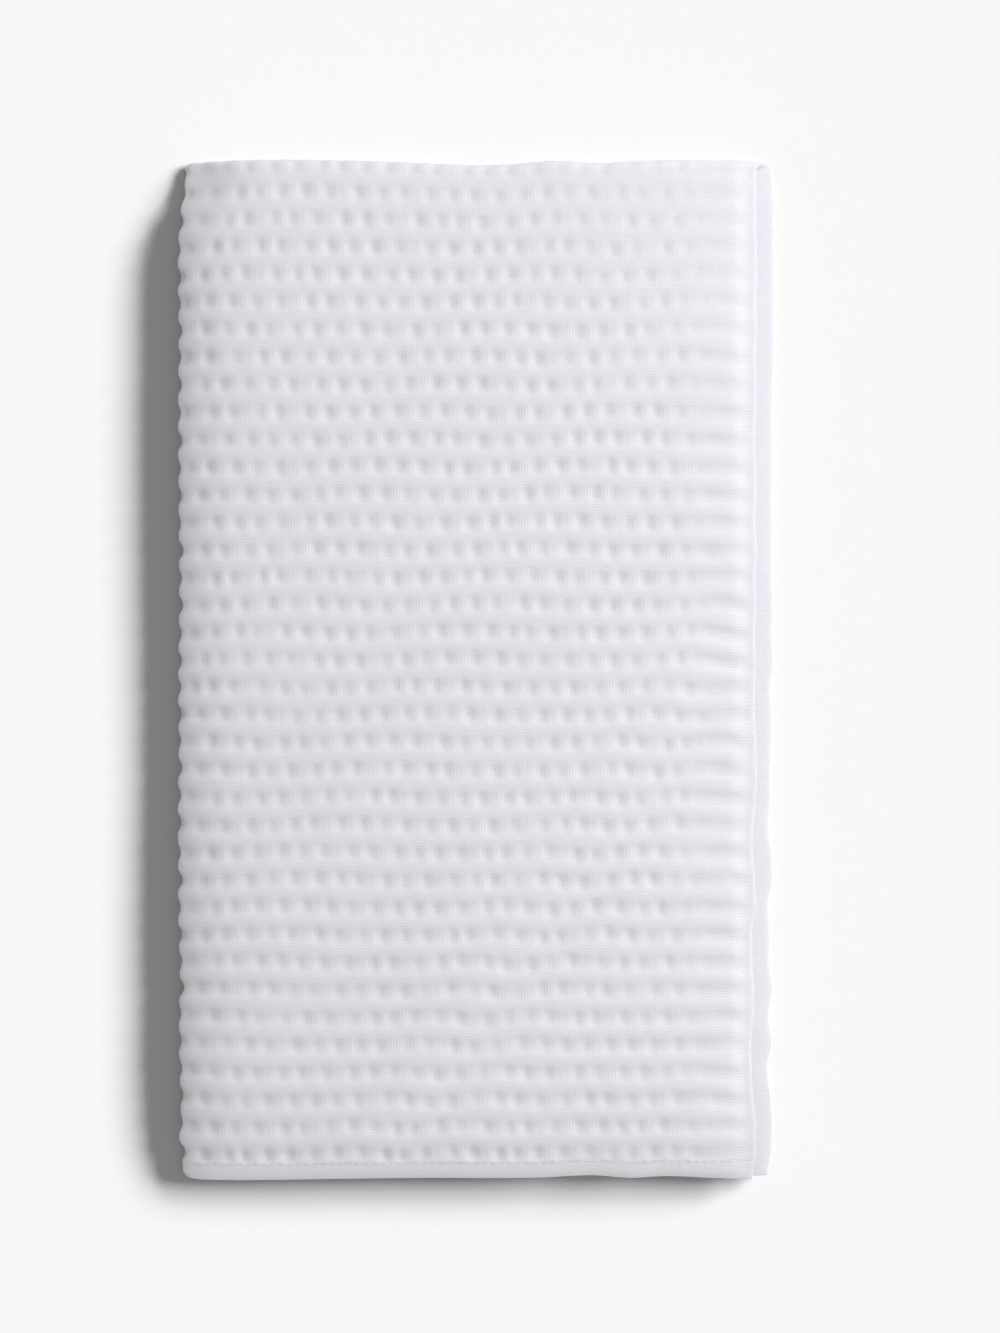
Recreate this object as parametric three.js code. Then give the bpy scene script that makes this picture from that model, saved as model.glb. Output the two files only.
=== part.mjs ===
// Hand towel of white honeycomb cotton, one hemmed length of cloth. It is folded in half over a
// crosswise fold and then in half again over a lengthwise fold, and lies flat.
// Millimetres. +X points from the lengthwise fold to the open selvedges, +Y from the open hems to
// the crosswise fold, +Z up. The origin is the middle of the footprint, on the ground.
import * as THREE from "three";

// The cloth
const FLAT_WIDTH = 410;
const FLAT_LENGTH = 719;
const CLOTH = 2.4; // thickness between the ribs
const GAP = 0.8; // air between two layers

// The ribs that run across the cloth, one between each two rows of cells
const RIB_PITCH = 9.674;
const RIB_HEIGHT = 1.8;
const RIB_COUNT = 36;
const FIRST_CELL_ROW = 9.5; // from the hem's edge to the middle of the first row of cells
const RIB_FOOT = 0.15; // share of the pitch, from the middle of a row, that is the cells' floor
const SELVEDGE = 3; // woven plain, so the ribs run out in it

// The hem, a smooth turned band that is rounded at its edge
const HEM_WIDTH = 6.5;
const HEM_RISE = 1.65; // of the band above the floor of the cells
const HEM_ROUNDING = 1;
const EDGE_SHARE = 0.45; // thickness left at the very edge, as a share of the cloth's
const STITCH_LINE = 0.6; // from the band's inner side to where it is sewn down

// The two folds
const FOLD_STEPS = 8; // facets around each half turn
const PAIR_HALF = GAP / 2 + CLOTH; // from the middle of a pair of layers to its outer face
const PAIR_RADIUS = CLOTH + GAP; // of the pair's middle around the lengthwise fold
const FOLD_HEIGHT = PAIR_RADIUS + PAIR_HALF; // of the lengthwise fold's axis above the ground
const FOLD_INSET = FOLD_HEIGHT + RIB_HEIGHT; // of that axis from the fold's outer edge
const RELIEF_ENDS = { from: 0.55 * Math.PI, to: 0.92 * Math.PI }; // it lies flat under the towel

// What each half turn takes of the cloth, measured along the middle of its thickness
const CROSSWISE_TURN = (Math.PI * (GAP + CLOTH)) / 2;
const OUTER_TURN = Math.PI * (PAIR_RADIUS + PAIR_HALF - CLOTH / 2 + RIB_HEIGHT / 4);
const INNER_TURN = Math.PI * (PAIR_RADIUS - PAIR_HALF + CLOTH / 2);

// Straight reach of the layers: the inner pair turns more tightly, so its selvedges stand out by
// the difference
const ALONG = (FLAT_LENGTH - CROSSWISE_TURN) / 2;
const OUTER_ACROSS = (FLAT_WIDTH - OUTER_TURN) / 2;
const INNER_ACROSS = (FLAT_WIDTH - INNER_TURN) / 2;
const FOLDED_WIDTH = FOLD_INSET + INNER_ACROSS;
const FOLDED_LENGTH = ALONG + PAIR_HALF;

// How far each layer's free edges stop short of the reach above. "selvedge" is at the right and
// "hem" at the front.
const LAYERS = {
  outerTop: { selvedge: 0.2, hem: 0 },
  innerTop: { selvedge: 0, hem: 0.6 },
  innerBottom: { selvedge: 0.6, hem: 1.3 },
  outerBottom: { selvedge: -0.2, hem: 0.5 },
};

// Height of the stack across it, as a share of its full height: it rolls off softly at the fold
// and comes down to the thin selvedges
const HEIGHT_ACROSS = [
  { fromFold: 0, share: 0.62 },
  { fromFold: 5, share: 0.69 },
  { fromFold: 10, share: 0.8 },
  { fromFold: 15, share: 0.88 },
  { fromFold: 24, share: 0.94 },
  { fromFold: 46, share: 0.985 },
  { fromFold: 80, share: 1 },
  { fromFold: 130, share: 1.01 },
  { fromFold: 165, share: 1 },
  { fromFold: 181, share: 0.975 },
  { fromFold: 192, share: 0.93 },
  { fromFold: 200, share: 0.885 },
  { fromFold: 206, share: 0.87 },
  { fromFold: 210, share: 0.865 },
];

// The same along it, from the hems to the crosswise fold
const HEIGHT_ALONG = [
  { fromHem: 0, share: 0.62 },
  { fromHem: 6, share: 0.76 },
  { fromHem: 13, share: 0.88 },
  { fromHem: 25, share: 0.965 },
  { fromHem: 60, share: 1.01 },
  { fromHem: 150, share: 0.98 },
  { fromHem: 235, share: 1.02 },
  { fromHem: 323, share: 1 },
  { fromHem: 341, share: 0.985 },
  { fromHem: 351, share: 0.94 },
  { fromHem: 360, share: 0.86 },
];

// The corner where both folds meet is pressed lowest
const FAR_CORNER = { drop: 0.6, reach: 15 };

// How far the outline draws in along each of its four edges
const LEFT_EDGE = [
  { fromHem: 0, drawnIn: 1.3 },
  { fromHem: 5, drawnIn: 1.4 },
  { fromHem: 11, drawnIn: 0.5 },
  { fromHem: 25, drawnIn: 0.9 },
  { fromHem: 43, drawnIn: 0.4 },
  { fromHem: 58, drawnIn: 0.3 },
  { fromHem: 74, drawnIn: 0.6 },
  { fromHem: 90, drawnIn: 0.1 },
  { fromHem: 110, drawnIn: 0 },
  { fromHem: 140, drawnIn: 0 },
  { fromHem: 153, drawnIn: 0.2 },
  { fromHem: 169, drawnIn: 0 },
  { fromHem: 209, drawnIn: 0.4 },
  { fromHem: 232, drawnIn: 0.2 },
  { fromHem: 264, drawnIn: 0 },
  { fromHem: 280, drawnIn: 0 },
  { fromHem: 295, drawnIn: 0.2 },
  { fromHem: 311, drawnIn: 0 },
  { fromHem: 330, drawnIn: 0 },
  { fromHem: 338, drawnIn: 0.4 },
  { fromHem: 345, drawnIn: 1.1 },
  { fromHem: 351, drawnIn: 2 },
  { fromHem: 355, drawnIn: 2.3 },
  { fromHem: 360, drawnIn: 0.2 },
];
const RIGHT_EDGE = [
  { fromHem: 0, drawnIn: 1.3 },
  { fromHem: 4, drawnIn: 0.7 },
  { fromHem: 15, drawnIn: 0.7 },
  { fromHem: 31, drawnIn: 1.6 },
  { fromHem: 61, drawnIn: 0.9 },
  { fromHem: 77, drawnIn: 0.8 },
  { fromHem: 93, drawnIn: 1 },
  { fromHem: 109, drawnIn: 0.8 },
  { fromHem: 125, drawnIn: 1.2 },
  { fromHem: 141, drawnIn: 0.6 },
  { fromHem: 171, drawnIn: 0.5 },
  { fromHem: 191, drawnIn: 0.1 },
  { fromHem: 249, drawnIn: 0.2 },
  { fromHem: 263, drawnIn: 0.4 },
  { fromHem: 281, drawnIn: 0 },
  { fromHem: 351, drawnIn: 0 },
  { fromHem: 360, drawnIn: 0.2 },
];
const FAR_EDGE = [
  { fromFold: 0, drawnIn: 0.1 },
  { fromFold: 8, drawnIn: 0 },
  { fromFold: 62, drawnIn: 0.1 },
  { fromFold: 78, drawnIn: 0.6 },
  { fromFold: 92, drawnIn: 1.3 },
  { fromFold: 106, drawnIn: 1.8 },
  { fromFold: 120, drawnIn: 1.3 },
  { fromFold: 134, drawnIn: 0.2 },
  { fromFold: 148, drawnIn: 1.1 },
  { fromFold: 162, drawnIn: 0.4 },
  { fromFold: 176, drawnIn: 0 },
  { fromFold: 188, drawnIn: 0 },
  { fromFold: 210, drawnIn: 0.1 },
];
const NEAR_EDGE = [
  { fromFold: 0, drawnIn: 0.2 },
  { fromFold: 8, drawnIn: 0 },
  { fromFold: 30, drawnIn: 0 },
  { fromFold: 50, drawnIn: 0.3 },
  { fromFold: 70, drawnIn: 0.6 },
  { fromFold: 95, drawnIn: 0.8 },
  { fromFold: 112, drawnIn: 0.7 },
  { fromFold: 128, drawnIn: 0.9 },
  { fromFold: 148, drawnIn: 1.7 },
  { fromFold: 160, drawnIn: 0.8 },
  { fromFold: 172, drawnIn: 1.4 },
  { fromFold: 190, drawnIn: 0.7 },
  { fromFold: 202, drawnIn: 0.3 },
  { fromFold: 210, drawnIn: 0.6 },
];
const EDGE_REACH = 22; // how far into the towel an edge's drawing-in is felt

// Where the cloth is cut into facets, as shares of the straight reach: across the towel on top and
// underneath, and along the layers that carry no ribs
const TOP_STATIONS = [1, 0.985, 0.96, 0.93, 0.89, 0.84, 0.77, 0.66, 0.5, 0.33, 0.18, 0.09, 0.04];
const BOTTOM_STATIONS = [0.06, 0.25, 0.5, 0.75, 0.93, 1];
const INNER_LAYER_STEPS = [0.12, 0.3, 0.55, 0.8, 0.96];
const HIDDEN_FACE_STEPS = [0.03, 0.12, 0.24, 0.36, 0.48, 0.6, 0.72, 0.84, 0.96];

const CLOTH_COLOUR = 0xe6e5ea;
const CLOTH_ROUGHNESS = 0.95;

/** Smooth value of a table's column at a place in its first named column. */
function follow(table, place, column, at) {
  const last = table.length - 1;
  let i = 0;
  while (i < last - 1 && at > table[i + 1][place]) i += 1;
  const from = table[i];
  const to = table[i + 1];
  const share = THREE.MathUtils.smoothstep(at, from[place], to[place]);
  return THREE.MathUtils.lerp(from[column], to[column], share);
}

/** Height that a rib or the hem's band adds to the outer face, at a distance from the hem's edge. */
function relief(fromHem) {
  if (fromHem < HEM_WIDTH) return HEM_RISE * THREE.MathUtils.smoothstep(fromHem, 0, HEM_WIDTH / 2);
  const turn = (fromHem - FIRST_CELL_ROW) / RIB_PITCH;
  const fromCell = Math.abs(turn - Math.round(turn));
  return turn < 0 ? 0 : RIB_HEIGHT * THREE.MathUtils.smoothstep(fromCell, RIB_FOOT, 0.5);
}

/**
 * Places along the cloth from the outer layer's hem, round the crosswise fold to the inner layer's
 * hem: how far each is from the hems, and its turn around the fold.
 */
function alongPlaces(outerLayer, foldSteps, innerLayer) {
  const places = outerLayer.map((along) => ({ along, turn: 0 }));
  for (let step = 0; step <= foldSteps; step += 1) {
    places.push({ along: ALONG, turn: (step / foldSteps) * Math.PI });
  }
  innerLayer.toReversed().forEach((along) => places.push({ along, turn: Math.PI }));
  return places;
}

/** Places on the face that shows, three to a rib. */
function outerFacePlaces() {
  const band = [0, HEM_ROUNDING, HEM_WIDTH / 2, HEM_WIDTH - STITCH_LINE, FIRST_CELL_ROW - RIB_PITCH / 6];
  const ribs = [];
  for (let row = 0; row < RIB_COUNT - 1; row += 1) {
    const cell = FIRST_CELL_ROW + row * RIB_PITCH;
    ribs.push(cell + RIB_PITCH / 6, cell + RIB_PITCH / 2, cell + (RIB_PITCH * 5) / 6);
  }
  const lastCell = FIRST_CELL_ROW + (RIB_COUNT - 1) * RIB_PITCH;
  const innerLayer = [0, HEM_ROUNDING, ...INNER_LAYER_STEPS.map((share) => share * ALONG)];
  return alongPlaces([...band, ...ribs, lastCell], FOLD_STEPS, innerLayer);
}

/** The same on the hidden face, in fewer steps. */
function innerFacePlaces() {
  const straight = [0, HEM_ROUNDING, ...HIDDEN_FACE_STEPS.map((share) => share * ALONG)];
  return alongPlaces(straight, FOLD_STEPS / 2, straight);
}

/** Places around the towel from the top selvedge over the lengthwise fold to the bottom one. */
function acrossPlaces() {
  const places = TOP_STATIONS.map((reach) => ({ reach, turn: 0 }));
  for (let step = 0; step <= FOLD_STEPS; step += 1) {
    places.push({ reach: 0, turn: (step / FOLD_STEPS) * Math.PI });
  }
  BOTTOM_STATIONS.forEach((reach) => places.push({ reach, turn: Math.PI }));
  return places;
}

/** How much of the relief stands at a place around the towel: none on the ground or a selvedge. */
function reliefShare(across) {
  const fromSelvedge = (1 - across.reach) * OUTER_ACROSS;
  const offGround = 1 - THREE.MathUtils.smoothstep(across.turn, RELIEF_ENDS.from, RELIEF_ENDS.to);
  return offGround * THREE.MathUtils.smoothstep(fromSelvedge, 0, SELVEDGE);
}

/** Point of the folded cloth before its outline is uneven: x from the fold, y from the hems. */
function foldedPoint(along, across, outerFace) {
  const inner = along.turn / Math.PI;
  const bottom = across.turn / Math.PI;
  const mix = (column) =>
    THREE.MathUtils.lerp(
      THREE.MathUtils.lerp(LAYERS.outerTop[column], LAYERS.innerTop[column], inner),
      THREE.MathUtils.lerp(LAYERS.outerBottom[column], LAYERS.innerBottom[column], inner),
      bottom,
    );
  const rounding = THREE.MathUtils.smoothstep(along.along, 0, HEM_ROUNDING);
  const body = CLOTH * THREE.MathUtils.lerp(EDGE_SHARE, 1, rounding);
  const raised = along.turn < Math.PI / 2 ? relief(along.along) * Math.cos(along.turn) ** 2 : 0;
  const face = outerFace ? body + raised * reliefShare(across) : (CLOTH - body) / 2;
  const depth = GAP / 2 + face;

  const stop = mix("hem") * (1 - along.along / ALONG);
  const y = along.along + stop + depth * Math.sin(along.turn);
  const radius = PAIR_RADIUS + depth * Math.cos(along.turn);
  const straight = THREE.MathUtils.lerp(OUTER_ACROSS, INNER_ACROSS, inner) - mix("selvedge");
  const x = FOLD_INSET + across.reach * straight - radius * Math.sin(across.turn);
  const z = FOLD_HEIGHT + radius * Math.cos(across.turn);
  return new THREE.Vector3(x, y, z);
}

/** Settles a point of the folded cloth: its height rolls off, and its outline draws in. */
function settle(point) {
  const { x, y, z } = point;
  const fromCorner = Math.hypot(x, FOLDED_LENGTH - y) / FAR_CORNER.reach;
  const height =
    follow(HEIGHT_ACROSS, "fromFold", "share", x) *
    follow(HEIGHT_ALONG, "fromHem", "share", y) *
    (1 - FAR_CORNER.drop * Math.exp(-(fromCorner ** 2)));
  const near = (distance) => Math.exp(-Math.max(distance, 0) / EDGE_REACH);
  const left = follow(LEFT_EDGE, "fromHem", "drawnIn", y) * near(x);
  const right = follow(RIGHT_EDGE, "fromHem", "drawnIn", y) * near(FOLDED_WIDTH - x);
  const front = follow(NEAR_EDGE, "fromFold", "drawnIn", x) * near(y);
  const back = follow(FAR_EDGE, "fromFold", "drawnIn", x) * near(FOLDED_LENGTH - y);
  return new THREE.Vector3(x + left - right, y + front - back, z * height);
}

/** Triangles between two rows of vertices whose counts differ, paired by how far along they are. */
function bridge(rowA, rowB, triangles) {
  let a = 0;
  let b = 0;
  while (a < rowA.length - 1 || b < rowB.length - 1) {
    const nextA = a < rowA.length - 1 ? rowA[a + 1].at : Infinity;
    const nextB = b < rowB.length - 1 ? rowB[b + 1].at : Infinity;
    if (nextA <= nextB) {
      triangles.push([rowA[a].index, rowA[a + 1].index, rowB[b].index]);
      a += 1;
    } else {
      triangles.push([rowA[a].index, rowB[b + 1].index, rowB[b].index]);
      b += 1;
    }
  }
}

/** The closed skin of the folded cloth: its outer face, its inner face, its hems and selvedges. */
function towelGeometry() {
  const points = [];
  const triangles = [];
  const around = acrossPlaces();

  const addFace = (places, outerFace) =>
    places.map((along) =>
      around.map((across) => {
        points.push(settle(foldedPoint(along, across, outerFace)));
        const goingBack = along.turn === Math.PI;
        const straight = goingBack ? 2 * ALONG - along.along : along.along;
        return { index: points.length - 1, at: straight + along.turn };
      }),
    );
  const outer = addFace(outerFacePlaces(), true);
  const inner = addFace(innerFacePlaces(), false);

  const fill = (rows, facingUp) => {
    for (let i = 0; i < rows.length - 1; i += 1) {
      for (let j = 0; j < around.length - 1; j += 1) {
        const a = rows[i][j].index;
        const b = rows[i][j + 1].index;
        const c = rows[i + 1][j + 1].index;
        const d = rows[i + 1][j].index;
        if (facingUp) triangles.push([a, d, b], [b, d, c]);
        else triangles.push([a, b, d], [b, c, d]);
      }
    }
  };
  fill(outer, true);
  fill(inner, false);

  const hem = (outerRow, innerRow, first) => {
    for (let j = 0; j < around.length - 1; j += 1) {
      const a = outerRow[j].index;
      const b = outerRow[j + 1].index;
      const c = innerRow[j + 1].index;
      const d = innerRow[j].index;
      if (first) triangles.push([a, b, d], [b, c, d]);
      else triangles.push([a, d, b], [b, d, c]);
    }
  };
  hem(outer[0], inner[0], true);
  hem(outer.at(-1), inner.at(-1), false);

  const column = (rows, j) => rows.map((row) => row[j]);
  const last = around.length - 1;
  bridge(column(inner, 0), column(outer, 0), triangles);
  bridge(column(outer, last), column(inner, last), triangles);

  const geometry = new THREE.BufferGeometry().setFromPoints(points).setIndex(triangles.flat());
  geometry.computeBoundingBox();
  const { min, max } = geometry.boundingBox;
  geometry.translate(-(min.x + max.x) / 2, -(min.y + max.y) / 2, -min.z);
  geometry.computeVertexNormals();
  return geometry;
}

const cotton = new THREE.MeshStandardMaterial({
  color: CLOTH_COLOUR,
  roughness: CLOTH_ROUGHNESS,
  metalness: 0,
});
const towel = new THREE.Mesh(towelGeometry(), cotton);
towel.name = "towel";

const handTowel = new THREE.Group();
handTowel.add(towel);

export default handTowel;
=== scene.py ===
"""Looks of a hand towel in white honeycomb cotton, folded in half twice and lying flat.

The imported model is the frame. One sheet of cloth takes the place of its solid and lies on the same folds.
Sizes are in millimetres and meshes in metres. +X points from the lengthwise fold to the open selvedges,
+Y from the open hems to the crosswise fold, +Z up. A place on the flat cloth is given by its distance from
the outer layer's hem and by its distance from the selvedge that lies on top.
"""

import logging
import math
from dataclasses import dataclass, field
from enum import Enum

import bpy
import numpy as np
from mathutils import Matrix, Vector


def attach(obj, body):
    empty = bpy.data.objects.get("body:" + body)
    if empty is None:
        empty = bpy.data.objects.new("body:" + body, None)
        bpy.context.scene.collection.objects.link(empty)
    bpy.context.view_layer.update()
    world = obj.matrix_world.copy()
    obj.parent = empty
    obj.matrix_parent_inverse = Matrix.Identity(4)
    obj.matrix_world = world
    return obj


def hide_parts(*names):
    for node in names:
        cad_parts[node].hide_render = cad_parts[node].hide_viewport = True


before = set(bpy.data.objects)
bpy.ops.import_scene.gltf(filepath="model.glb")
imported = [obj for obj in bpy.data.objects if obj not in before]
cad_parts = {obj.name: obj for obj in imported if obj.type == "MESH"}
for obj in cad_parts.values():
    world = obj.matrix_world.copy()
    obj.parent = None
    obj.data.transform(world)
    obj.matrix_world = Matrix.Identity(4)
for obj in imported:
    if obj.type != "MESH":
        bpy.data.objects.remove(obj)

MM = 0.001
log = logging.getLogger("hand_towel")


def ease(share: np.ndarray) -> np.ndarray:
    """Way from 0 to 1 that is level at both ends: 3q² - 2q³ of the share q."""
    return share * share * (3 - 2 * share)


def smooth(value: np.ndarray, start: float, end: float) -> np.ndarray:
    """Step that rises from 0 at start to 1 at end and is level at both."""
    return ease(np.clip((value - start) / (end - start), 0, 1))


@dataclass(frozen=True)
class Course:
    """A size that changes smoothly along the towel."""

    rows: tuple[tuple[float, float], ...]  # pairs of a place in mm and the size there

    def at(self, place: np.ndarray) -> np.ndarray:
        """Size at each place, on a cubic curve through the rows.

        Between two rows with sizes a and b, slopes m and n, and a gap of g, the size at the share q of the
        way is a(1 - 3q² + 2q³) + b(3q² - 2q³) + gm(q - 2q² + q³) + gn(q³ - q²). A row's slope is taken
        from its two neighbours.

        Args:
            place: Distances in mm.

        Returns:
            The size at each of them.
        """
        places, sizes = np.array(self.rows).T
        slopes = np.gradient(sizes, places)
        row = np.clip(np.searchsorted(places, place) - 1, 0, len(places) - 2)
        gap = places[row + 1] - places[row]
        q = np.clip((place - places[row]) / gap, 0, 1)
        bend = gap * (slopes[row] * q * (1 - q) ** 2 - slopes[row + 1] * q * q * (1 - q))
        return sizes[row] + (sizes[row + 1] - sizes[row]) * ease(q) + bend


@dataclass(frozen=True)
class Wander:
    """Smooth random change along a row of cells, the same in each run."""

    seed: int  # start of the random numbers
    rows: int = 80  # how many rows of cells have a change of their own
    steps: int = 90  # how many random values a row holds

    def at(self, row: np.ndarray, place: np.ndarray) -> np.ndarray:
        """Value from -1 to 1: a smooth step between the random values on both sides of the place.

        Args:
            row: Number of the row of cells.
            place: Place in the row, in cells.

        Returns:
            The value at each place.
        """
        values = np.random.default_rng(self.seed).uniform(-1, 1, (self.rows, self.steps))
        before = np.floor(place)
        share = ease(place - before)
        row = row.astype(int) % self.rows
        step = before.astype(int) % self.steps
        return values[row, step] * (1 - share) + values[row, (step + 1) % self.steps] * share


@dataclass(frozen=True)
class Honeycomb:
    """The cloth's relief: rows of cells between ribs, with every other row set over by half a cell.

    Places are from the outer hem or from the upper selvedge. A pair of places is where something starts and
    where all of it is there.
    """

    row_pitch: float = 9.674  # from rib to rib
    rib_height: float = 1.8  # of the ribs above the cells' floor
    first_row: float = 9.5  # middle of the first row of cells, from the hem
    # From cell to cell, along the towel.
    cell_pitch: Course = Course(((0, 7.98), (180, 7.98), (265, 8.2), (352, 8.4)))
    column_origin: float = 183.8  # middle of a cell of every second row, from the selvedge
    # Where a rib starts, from the middle of its row of cells, as a share of the pitch.
    rib_foot: float = 0.05
    rib_crest: float = 0.41  # where it has its full height
    wall_foot: float = 0.02  # where a wall starts, from the middle of its cell, as a share of the pitch
    wall_crest: float = 0.37  # where it has its full height
    # As a share of the ribs', along the towel.
    wall_height: Course = Course(((0, 0.66), (15, 0.52), (120, 0.45), (240, 0.5), (359, 0.57)))
    walls_from: tuple[float, float] = (12, 32)  # where the walls start, across the towel
    depth_share: float = 0.7  # of the ribs' height that the deepest plain cells take
    depth_mean: float = 0.87  # of the cells, as a share of the deepest
    depth_spread: float = 0.24  # how far the depth wanders from the mean, up to the deepest
    fold_place: float = 198.5  # where cells gape over the lengthwise fold
    fold_reach: float = 9  # how far from there they do
    fold_depth: float = 1.1  # how much deeper that makes them, as a share
    worn_share: float = 0.5  # how much shallower the cells are in the far open corner
    # Where that starts, as the place along less the place across.
    worn_from: tuple[float, float] = (190, 330)
    first_depth: float = 0.5  # how much deeper the cells beside the hem are, as a share
    first_from: tuple[float, float] = (40, 110)  # where that starts, across the towel
    row_sway: float = 0.09  # how far a row wanders along the towel, in rows
    sway_steps: float = 0.45  # random steps of that wandering, for each cell
    sway_shift: float = 0.37  # how far it is set over from row to row, in random steps
    cell_sway: float = 0.19  # how far a cell wanders across the towel, in cells
    random_start: float = 60  # cells that lie before the first, so that the random steps count from above 0
    hem_width: float = 6.5  # of the turned hem's band
    hem_rise: float = 1.65  # of the band above the cells' floor
    hem_round: float = 2.6  # width of its rounded edge
    hem_slope: float = 0.9  # from its middle, width of the slope between the band and the ribs
    stitch_line: float = 5.9  # place of the seam
    stitch_dent: float = 0.1  # its depth
    stitch_reach: float = 0.55  # half its width
    wander_across: Wander = Wander(11)  # random change of the cells' places in a row
    wander_along: Wander = Wander(23)  # random change of the rows' places
    wander_depth: Wander = Wander(37)  # random change of the cells' depth

    def cells(self, along: np.ndarray, across: np.ndarray) -> tuple[np.ndarray, np.ndarray, np.ndarray]:
        """Height of the ribs and of the walls between the cells of a row, and how deep the cells are.

        A rib is a smooth step in the distance from the middle of the row of cells, and a wall is the same
        in the distance from the middle of the cell. The cells of a row wander a little to the sides, up and
        down, and in depth. Near the selvedges the walls run out, and only the ribs are left.

        Args:
            along: Distance from the outer hem.
            across: Distance from the upper selvedge.

        Returns:
            Rib and wall, both from 0 to 1, and the depth as a share.
        """
        turn = (along - self.first_row) / self.row_pitch
        row = np.round(turn)
        column = (across - self.column_origin) / self.cell_pitch.at(along) + 0.5 * ((row + 1) % 2)
        sway = self.wander_along.at(row * 0, column * self.sway_steps + self.sway_shift * row)
        from_row = np.abs(turn + self.row_sway * sway - row)
        column = column + self.cell_sway * self.wander_across.at(row, column + self.random_start)
        from_cell = np.abs(column - np.round(column))
        rib = smooth(from_row, self.rib_foot, self.rib_crest)
        wall = smooth(from_cell, self.wall_foot, self.wall_crest) * smooth(across, *self.walls_from)

        spread = self.depth_spread * self.wander_depth.at(row, column + self.random_start)
        from_fold = (across - self.fold_place) / self.fold_reach
        depth = np.minimum(self.depth_mean + spread, 1) * (1 + self.fold_depth * np.exp(-(from_fold ** 2)))
        depth = depth * (1 - self.worn_share * smooth(along - across, *self.worn_from))
        depth = depth * (1 + self.first_depth * (row == 0) * smooth(across, *self.first_from))
        return rib, wall, depth

    def height(self, along: np.ndarray, across: np.ndarray) -> np.ndarray:
        """Height of the cloth's outer face: its hem, and past the hem its ribs, walls and cells.

        Over the cells' floor it is the ribs' height times one less the open share. That share is the
        product of what the ribs leave open, what the walls leave open, and the depth of the cells.

        Args:
            along: Distance from the outer hem.
            across: Distance from the upper selvedge.

        Returns:
            The height in mm.
        """
        rib, wall, depth = self.cells(along, across)
        open_share = (1 - rib) * (1 - self.wall_height.at(along) * wall) * depth * self.depth_share
        return self.rib_height * (1 - open_share) * self.past_hem(along) + self.hem(along)

    def past_hem(self, from_hem: np.ndarray) -> np.ndarray:
        """None of the weave on the hem's band, all of it past the band's slope."""
        return smooth(from_hem, self.hem_width - self.hem_slope, self.hem_width + self.hem_slope)

    def hem(self, from_hem: np.ndarray) -> np.ndarray:
        """Height of the turned hem, rounded to its edge, with a dent along the seam.

        Args:
            from_hem: Distance from the hem's edge.

        Returns:
            The height in mm.
        """
        band = smooth(from_hem, 0, self.hem_round) * (1 - self.past_hem(from_hem))
        dent = np.exp(-(((from_hem - self.stitch_line) / self.stitch_reach) ** 2))
        return self.hem_rise * band - self.stitch_dent * dent


@dataclass(frozen=True)
class LayerStops:
    """How far the free edges of the four layers stop short of their full reach, from the top layer down."""

    outer_top: float
    inner_top: float
    inner_bottom: float
    outer_bottom: float

    def at(self, inner: np.ndarray, bottom: np.ndarray) -> np.ndarray:
        """Sum of the stops, each times its share of the way to the inner and to the bottom layers."""
        top = (1 - inner) * self.outer_top + inner * self.inner_top
        return (1 - bottom) * top + bottom * ((1 - inner) * self.outer_bottom + inner * self.inner_bottom)


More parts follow.
